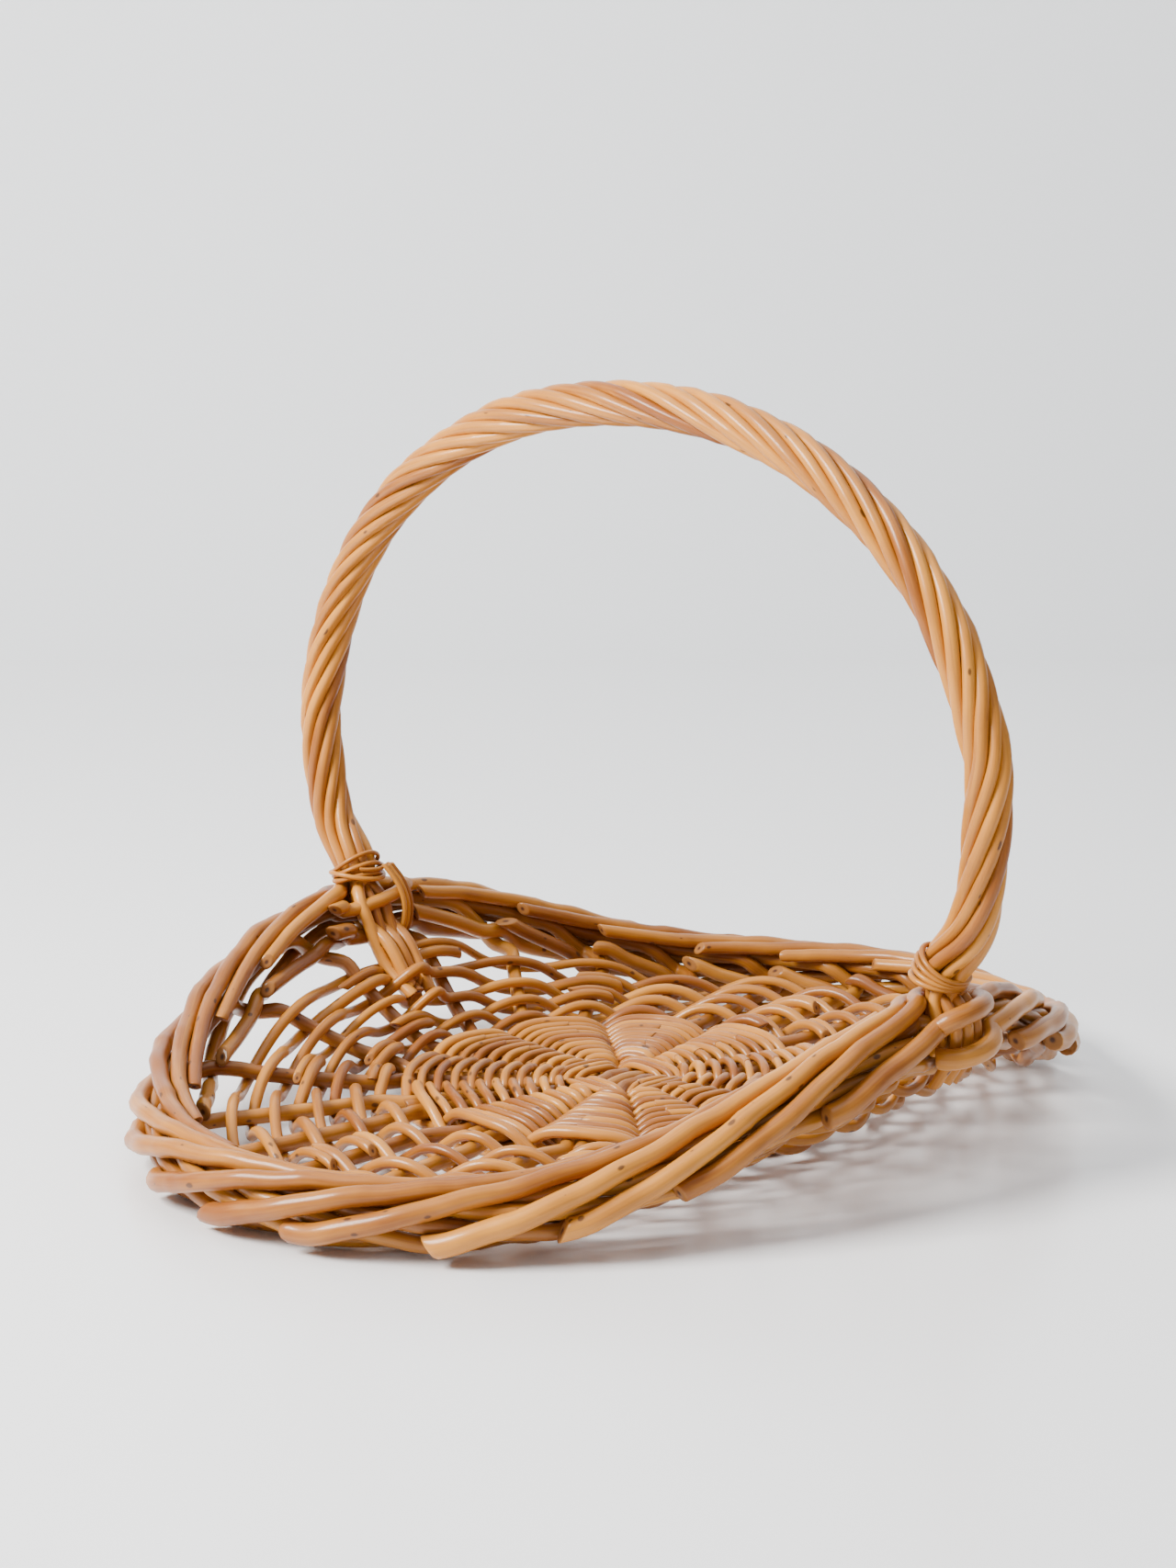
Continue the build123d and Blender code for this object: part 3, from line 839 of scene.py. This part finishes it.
# ---- side rows ----
FOOT_AZIMUTHS = (90, 270)
ROWS_ROUND_BOW = 5
IN_FRONT_OF_BOW = 15 * MM
BEHIND_BOW = -4.5 * MM
BOW_HALF_WIDTH = 3.4  # degrees of the rim
ROW_HUG = 0.7  # 0 is an even wave; more hugs the stakes
PIECES_PER_ROW = 3


def row_line(azimuths, row, sign, reach, lift):
    """One row of the tray: inside one stake and outside the next."""
    share = FIRST_ROW_SHARE + (LAST_ROW_SHARE - FIRST_ROW_SHARE) * row / (SIDE_ROWS - 1)
    wave = np.cos(np.radians(azimuths - STAKE_STEP / 2) * STAKES / 2)
    offset = sign * reach * np.tanh(ROW_HUG * wave) / math.tanh(ROW_HUG)
    if row >= SIDE_ROWS - ROWS_ROUND_BOW:
        for foot in FOOT_AZIMUTHS:
            in_front = row in (SIDE_ROWS - 3, SIDE_ROWS - 5)
            aside = IN_FRONT_OF_BOW if in_front else BEHIND_BOW
            close = near(azimuths, foot, BOW_HALF_WIDTH)
            offset = offset * (1 - close) + aside * close
    inward = wall_inward(azimuths, share)
    upward = unit(wall_rise(azimuths, share))
    return wall_point(azimuths, share) + inward * offset[:, None] + upward * lift[:, None]


class BASKET_OT_side_rows(bpy.types.Operator):
    """Rows of single rods woven in and out of the stakes"""

    bl_idname = "basket.side_rows"
    bl_label = "Side rows"

    def execute(self, context):
        chance = np.random.default_rng(ROW_SEED)
        sizes = context.scene.basket_rods
        reach = (sizes.stake + sizes.side_weaver) / 2 + 0.05 * MM
        material = willow("varnished_side_weave_willow", 0.97)
        for row in range(SIDE_ROWS):
            sign = 1 if row % 2 == 0 else -1
            inner = [number for number in range(STAKES) if (number % 2 == 0) == (sign > 0)]
            first = int(chance.integers(0, 4))
            steps = [len(inner) // PIECES_PER_ROW * piece for piece in range(PIECES_PER_ROW)]
            starts = [inner[(first + step) % len(inner)] for step in steps]
            starts = sorted(STAKE_AZIMUTHS[number] for number in starts)
            rods = []
            for number, start in enumerate(starts):
                end = starts[(number + 1) % len(starts)]
                end = end + 360 if end <= start else end
                over = chance.uniform(3.2, 5.5)
                azimuths = np.arange(start - over, end + over, 0.5)
                half = sizes.side_weaver * 0.55
                lift = half * (ease(start + 3, start + 16, azimuths) - 1)
                lift = lift + half * ease(end - 16, end - 3, azimuths)
                wobble = 0.5 * MM * np.sin(np.radians(azimuths * 5 + row * 70))
                line = row_line(azimuths, row, sign, reach, lift + wobble)
                rods.append(
                    Rod(even(line), sizes.side_weaver * chance.uniform(1.05, 1.2),
                        sizes.side_weaver * chance.uniform(0.8, 0.95), chance,
                        sizes.crookedness, slopes=(0.7, 1.0)))
            place_rods(f"side_row_{row + 1}", rods, material)
        return {"FINISHED"}


# ---- handle ----
ARCH_ANGLES = range(4, 180, 8)
LEG_CORNERS = ((0.72, 0.62), (0.1, 0.3))  # outward and up, from the border to the widest point
LEG_WALL_SHARES = (0.93, 0.75, 0.52)


def handle_line():
    """Middle of the handle from its +Y foot over the top to its -Y foot."""
    arch = []
    for angle in ARCH_ANGLES:
        across, up = math.cos(math.radians(angle)), math.sin(math.radians(angle))
        span = math.copysign(HANDLE_HALF_SPAN * abs(across) ** HANDLE_SQUARENESS, across)
        rise = (HANDLE_TOP - HANDLE_WIDEST_HEIGHT) * up**HANDLE_SQUARENESS
        arch.append((0, span, HANDLE_WIDEST_HEIGHT + rise))
    legs = []
    for side in (1, -1):
        half = RIM_WIDTH / 2
        bulge = HANDLE_HALF_SPAN - half
        drop = HANDLE_WIDEST_HEIGHT - FOOT_HEIGHT
        leg = [(0, side * (half + bulge * out), FOOT_HEIGHT + drop * up) for out, up in LEG_CORNERS]
        leg.append((0, side * half, FOOT_HEIGHT))
        leg += [tuple(wall_point(90.0 * side, share)) for share in LEG_WALL_SHARES]
        legs.append(leg)
    return smooth_line(legs[0][::-1] + arch + legs[1], 1.5 * MM)


def beside_handle(line, turn, radius):
    """Points round the handle's line: turn 0 is away from its middle."""
    along = unit(np.gradient(line, axis=0))
    outward = unit(np.cross(np.broadcast_to(X, along.shape), along))
    flip = np.sign(((line - Z * HANDLE_WIDEST_HEIGHT) * outward).sum(axis=1))
    outward = outward * flip[:, None]
    return line + outward * (radius * np.cos(turn))[:, None] + X * (radius * np.sin(turn))[:, None]


STRANDS = 8
STRAND_LEAD = 165 * MM
ROPE_FOOT_HEIGHT = 90 * MM
STRAIGHT_FOOT = 30 * MM  # over which the rope takes up its full twist
FOOT_PACE = 0.25
TAIL_PITCH = 3.6 * MM  # from one tail to the next, which lie in two layers
TAIL_LAYER = 2.6 * MM


def strand_line(number, line, radius, chance):
    """One rod of the rope between its feet, and its turn round the bow at each."""
    rope = line[line[:, 2] > ROPE_FOOT_HEIGHT]
    steps = np.linalg.norm(np.diff(rope, axis=0), axis=1)
    travelled = np.concatenate([[0], np.cumsum(steps)])
    into = np.minimum(travelled, travelled[-1] - travelled)
    pace = FOOT_PACE + (1 - FOOT_PACE) * ease(0, STRAIGHT_FOOT, into)
    wound = np.concatenate([[0], np.cumsum((pace[1:] + pace[:-1]) / 2 * steps)])
    sway = soften(chance.normal(0, 1, len(rope)), 400)
    sway = sway / (np.abs(sway).max() or 1)
    first = 2 * math.pi * number / STRANDS
    turn = first - 2 * math.pi * (wound - wound[-1] / 2) / STRAND_LEAD + sway * 0.10
    width = radius + 0.35 * MM * soften(chance.normal(0, 3, len(rope)), 200)
    return beside_handle(rope, turn, width), turn[0], turn[-1]


def foot_tail(start, slot, foot, inside, chance):
    """Runs a rod of the rope on down from the binding, through or over the border."""
    across = (slot - 2.5) * TAIL_PITCH
    depth = TAIL_LAYER if slot % 2 else -TAIL_LAYER
    side = 1 if foot == 90 else -1
    turn = foot - side * math.degrees(across / (RIM_LENGTH / 2))
    if inside:
        places = [
            border_point(turn, -5 * MM + depth, 12 * MM),
            border_point(turn, -12 * MM + depth, -2 * MM),
            wall_point(turn, 0.90) + wall_inward(turn, 0.90) * (7.5 * MM + depth),
            wall_point(turn, 0.74) + wall_inward(turn, 0.74) * (6.0 * MM + depth),
            wall_point(turn, chance.uniform(0.50, 0.62)) + wall_inward(turn, 0.6) * 6.0 * MM,
        ]
    else:
        places = [
            border_point(turn, 8 * MM + depth, 13 * MM),
            border_point(turn, 13 * MM + depth, 4 * MM),
            border_point(turn, 12 * MM + depth, -7 * MM),
            border_point(turn, 5 * MM, -15 * MM - depth * 3),
        ]
    return smooth_line([start] + places)[1:]


CANE_STEPS = 40  # to a turn


def cane_turns(line, foot, height, turns, radius, slant, pitch):
    """Cane wound round the rope at one foot, upwards from a height."""
    other_leg = (line[:, 1] > 0) != (foot > 0)
    below = int(np.argmin(np.abs(line[:, 2] - height) + other_leg))
    step = np.linalg.norm(line[1] - line[0])
    angle = np.linspace(0, turns * 2 * math.pi, int(turns * CANE_STEPS))
    climb = angle / (2 * math.pi) * pitch + slant * (1 - np.cos(angle))
    direction = 1 if below < len(line) / 2 else -1
    index = below + direction * climb / step
    marks = np.arange(len(line))
    along = unit(np.gradient(line, axis=0))
    places = np.stack([np.interp(index, marks, line[:, axis]) for axis in range(3)], 1)
    tangent = np.stack([np.interp(index, marks, along[:, axis]) for axis in range(3)], 1)
    outward = unit(np.cross(np.broadcast_to(X, tangent.shape), tangent))
    outward = outward * np.sign((outward * places).sum(axis=1))[:, None]
    out = radius * (1 + 0.012 * np.sin(angle * 1.7))
    turns_out = outward * (out * np.cos(angle))[:, None]
    return even(places + turns_out + X * (out * np.sin(angle))[:, None], 1.2 * MM)


# the loop of cane at the far foot: azimuth, outward and up from the middle of the border
LOOP = (
    (88.6, -12, 26), (87.4, -17, 16), (86.8, -19, 5), (87.0, -17, -7), (87.4, -7, -14),
    (87.6, 6, -12), (87.4, 17, -2), (87.8, 18, 12), (89.0, 12, 22),
)
LOOP_STRANDS = 3
LOOP_PITCH = 2.4 * MM
SETTLE_ROUNDS = 96


def rope_rods(line, radius, strand, chance):
    """The rods of the rope, with those at each foot's open side run on down as tails."""
    ropes = [strand_line(number, line, radius, chance) for number in range(STRANDS)]
    order = [
        np.argsort(np.argsort([-math.sin(rope[end]) for rope in ropes])) for end in (1, 2)
    ]
    rods = []
    for number, (points, _, _) in enumerate(ropes):
        start, end = points[0], points[-1]
        if 1 <= order[0][number] <= 6:
            tail = foot_tail(start, order[0][number] - 1, 90, True, chance)
            points = np.vstack([tail[::-1], points])
        if 1 <= order[1][number] <= 6:
            tail = foot_tail(end, 6 - order[1][number], 270, False, chance)
            points = np.vstack([points, tail])
        points = soften(even(points, 2.2 * MM), 6)
        butt, tip = strand * 1.1, strand * 0.9
        if number % 2:
            butt, tip = tip, butt
        rods.append(Rod(points, butt, tip, chance, 0.25 * MM))
    return rods


def tail_freedom(number, stake):
    """0 where a stake is held by the weaving, and 1 along its tail in the border."""
    azimuth = STAKE_AZIMUTHS[number]
    wall = float(np.linalg.norm(wall_point(azimuth, 0.95) - wall_point(azimuth, 0)))
    travelled = np.arange(len(stake.points)) * RING_SPACING
    return ease(wall + 30 * MM, wall + 60 * MM, travelled)


@lru_cache(maxsize=1)
def upper_rods(stake, border_butt, border_tip, strand, cane, crookedness):
    """The rods of the stakes, border, bow, rope and bindings, settled against each other."""
    chance = np.random.default_rng(UPPER_SEED)
    stakes = [
        Rod(stake_line(number), stake * chance.uniform(0.97, 1.04),
            stake * chance.uniform(1.0, 1.12), chance, crookedness,
            slopes=(0.3, chance.uniform(0.7, 1.3)))
        for number in range(STAKES)
    ]
    butts = []
    for azimuth in STAKE_AZIMUTHS:
        start = azimuth + 3 + chance.uniform(-2.0, 2.0)
        butts.append(
            Rod(butt_line(start), border_butt * chance.uniform(0.95, 1.05), border_tip, chance,
                crookedness, slopes=(chance.uniform(0.2, 0.8), 0.8)))
    line = handle_line()
    bow = Rod(line[::2], BOW, BOW, chance)
    radius = (BOW + strand) / 2
    ropes = rope_rods(line, radius, strand, chance)
    mobility = [tail_freedom(number, rod) for number, rod in enumerate(stakes)]
    mobility += [np.full(len(rod.points), 0.8) for rod in butts]
    mobility += [np.zeros(len(rod.points)) for rod in [bow] + ropes]
    rounds = SETTLE_ROUNDS
    settle(stakes + butts + [bow] + ropes, mobility, rounds)

    wrap = radius + (strand + cane) / 2
    left = [
        Rod(cane_turns(line, 1, 82 * MM, 3.3, wrap, 2.5 * MM, 3.4 * MM), cane, cane * 0.8, chance),
        Rod(cane_turns(line, 1, 90 * MM, 1.6, wrap + 1.2 * MM, -3.0 * MM, 3.2 * MM), cane,
            cane * 0.8, chance),
    ]
    loop = np.array([border_point(turn, out * MM, up * MM) for turn, out, up in LOOP])
    for number in range(LOOP_STRANDS):
        strand_of_loop = smooth_line(loop + X * number * LOOP_PITCH, 1.5 * MM)
        left.append(Rod(strand_of_loop, cane, cane * 0.9, chance))
    right = [
        Rod(cane_turns(line, -1, 87 * MM, 4.1, wrap, 0.4 * MM, 2.8 * MM), cane, cane * 0.85,
            chance),
    ]
    return {"stakes": stakes, "border": butts, "bow": [bow], "rope": ropes,
            "left": left, "right": right}


def settled(context, group):
    sizes = context.scene.basket_rods
    return upper_rods(sizes.stake, sizes.border_butt, sizes.border_tip, sizes.strand,
                      sizes.cane, sizes.crookedness)[group]


class BASKET_OT_side_stakes(bpy.types.Operator):
    """The stakes of the side, with their tails in the border"""

    bl_idname = "basket.side_stakes"
    bl_label = "Side stakes"

    def execute(self, context):
        material = willow("varnished_stake_willow", 0.88)
        for number, rod in enumerate(settled(context, "stakes")):
            place_rods(f"side_stake_{number + 1:02d}", [rod], material)
        return {"FINISHED"}


class BASKET_OT_border_rods(bpy.types.Operator):
    """The thick rods laid along the border, two to a piece"""

    bl_idname = "basket.border_rods"
    bl_label = "Border rods"

    def execute(self, context):
        material = willow("varnished_border_willow")
        rods = settled(context, "border")
        for number in range(0, STAKES, 2):
            name = f"border_rods_{number // 2 + 1:02d}"
            place_rods(name, rods[number:number + 2], material)
        return {"FINISHED"}


class BASKET_OT_handle_bow(bpy.types.Operator):
    """The stick inside the handle"""

    bl_idname = "basket.handle_bow"
    bl_label = "Handle bow"

    def execute(self, context):
        material = willow("varnished_handle_willow", 1.1)
        place_rods("handle_bow", settled(context, "bow"), material)
        return {"FINISHED"}


class BASKET_OT_handle_rope(bpy.types.Operator):
    """The rods wound round the bow"""

    bl_idname = "basket.handle_rope"
    bl_label = "Handle rope"

    def execute(self, context):
        material = willow("varnished_handle_willow", 1.1)
        place_rods("handle_strands", settled(context, "rope"), material)
        return {"FINISHED"}


class BASKET_OT_handle_bindings(bpy.types.Operator):
    """The cane wound round the two feet of the handle"""

    bl_idname = "basket.handle_bindings"
    bl_label = "Handle bindings"

    def execute(self, context):
        material = willow("varnished_cane", 1.05, 0.2)
        for side in ("left", "right"):
            rods = settled(context, side)
            place_rods("handle_binding_" + side, rods, material, "_cane")
        return {"FINISHED"}


# ---- stage ----
def plain(name, colour, roughness):
    material = bpy.data.materials.new(name)
    material.use_nodes = True
    shader = material.node_tree.nodes["Principled BSDF"]
    shader.inputs["Base Color"].default_value = (*colour, 1)
    shader.inputs["Roughness"].default_value = roughness
    return material


def sheet(name, corners, material):
    mesh = bpy.data.meshes.new(name)
    mesh.from_pydata(corners, [], [(0, 1, 2, 3)])
    mesh.materials.append(material)
    panel = bpy.data.objects.new(name, mesh)
    bpy.context.scene.collection.objects.link(panel)
    panel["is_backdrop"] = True


def soft_light(name, place, aim, size, watts, colour):
    lamp = bpy.data.lights.new(name, "AREA")
    lamp.shape = "RECTANGLE"
    lamp.size, lamp.size_y = size
    lamp.energy = watts
    lamp.color = colour
    holder = bpy.data.objects.new(name, lamp)
    holder.location = place
    holder.rotation_euler = (Vector(aim) - Vector(place)).to_track_quat("-Z", "Y").to_euler()
    bpy.context.scene.collection.objects.link(holder)


class BASKET_OT_stage(bpy.types.Operator):
    """Floor, wall, soft light and camera"""

    bl_idname = "basket.stage"
    bl_label = "Stage"
    half_size = 6
    wall_distance = 1.6
    wall_height = 4

    def execute(self, context):
        stage = context.scene.basket_stage
        far = self.half_size
        sheet("floor", [(-far, -far, 0), (far, -far, 0), (far, far, 0), (-far, far, 0)],
              plain("pale_floor", stage.floor, 0.28))
        heading = stage.camera_heading
        away = Vector((-math.sin(heading), math.cos(heading), 0))
        beside = Vector((away.y, -away.x, 0))
        middle = away * self.wall_distance
        low, high = Vector((0, 0, -0.01)), Vector((0, 0, self.wall_height))
        corners = [middle - beside * far + low, middle + beside * far + low,
                   middle + beside * far + high, middle - beside * far + high]
        sheet("wall", [tuple(corner) for corner in corners], plain("pale_wall", stage.wall, 0.9))
        soft_light("window", (-1.5, 0.75, 1.4), (0, 0, 0.05), (1.0, 0.8), 135, (1.0, 0.985, 0.96))
        soft_light("ceiling", (0.3, -0.2, 2.6), (0, 0, 0), (3.0, 3.0), 56, (0.97, 0.985, 1.0))
        soft_light("fill", (-1.8, -1.6, 1.0), (0, 0, 0.1), (1.8, 1.4), 3, (1.0, 0.99, 0.97))
        world = bpy.data.worlds.new("room")
        context.scene.world = world
        world.use_nodes = True
        sky = world.node_tree.nodes["Background"]
        sky.inputs["Color"].default_value = (0.86, 0.9, 0.95, 1)
        sky.inputs["Strength"].default_value = 0.42
        lens = bpy.data.cameras.new("camera")
        lens.lens = stage.lens
        camera = bpy.data.objects.new("camera", lens)
        camera.location = stage.camera_place
        camera.rotation_euler = (math.pi / 2 - stage.camera_dip, 0, heading)
        context.scene.collection.objects.link(camera)
        context.scene.camera = camera
        return {"FINISHED"}


class BASKET_PT_panel(bpy.types.Panel):
    """Sizes, colours and pieces of the basket"""

    bl_idname = "BASKET_PT_panel"
    bl_label = "Willow basket"
    bl_space_type = "VIEW_3D"
    bl_region_type = "UI"
    bl_category = "Basket"

    def draw(self, context):
        for group in (context.scene.basket_rods, context.scene.basket_finish,
                      context.scene.basket_stage):
            box = self.layout.box()
            for name in group.__annotations__:
                box.prop(group, name)
        for operator in PIECES:
            self.layout.operator(operator.bl_idname)


SETTINGS = {"basket_rods": BasketRods, "basket_finish": BasketFinish, "basket_stage": BasketStage}
PIECES = (
    BASKET_OT_stage, BASKET_OT_base_sticks, BASKET_OT_slath_tie, BASKET_OT_base_weave,
    BASKET_OT_foot_wale, BASKET_OT_side_rows, BASKET_OT_side_stakes, BASKET_OT_border_rods,
    BASKET_OT_handle_bow, BASKET_OT_handle_rope, BASKET_OT_handle_bindings,
)


def register():
    for group in SETTINGS.values():
        bpy.utils.register_class(group)
    for name, group in SETTINGS.items():
        setattr(bpy.types.Scene, name, bpy.props.PointerProperty(type=group))
    for kind in PIECES + (BASKET_PT_panel,):
        bpy.utils.register_class(kind)


def unregister():
    for kind in (BASKET_PT_panel,) + PIECES:
        bpy.utils.unregister_class(kind)
    for name, group in SETTINGS.items():
        delattr(bpy.types.Scene, name)
        bpy.utils.unregister_class(group)


def main():
    register()
    bpy.ops.basket.stage()
    bpy.ops.basket.base_sticks()
    bpy.ops.basket.slath_tie()
    bpy.ops.basket.base_weave()
    bpy.ops.basket.foot_wale()
    bpy.ops.basket.side_rows()
    bpy.ops.basket.side_stakes()
    bpy.ops.basket.border_rods()
    bpy.ops.basket.handle_bow()
    bpy.ops.basket.handle_rope()
    bpy.ops.basket.handle_bindings()
    bpy.context.view_layer.update()
    boxes = {"cad": CAD_BOX, "visual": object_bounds()}
    boxes = {name: [[float(v) for v in corner] for corner in box] for name, box in boxes.items()}


if __name__ == "__main__":
    main()
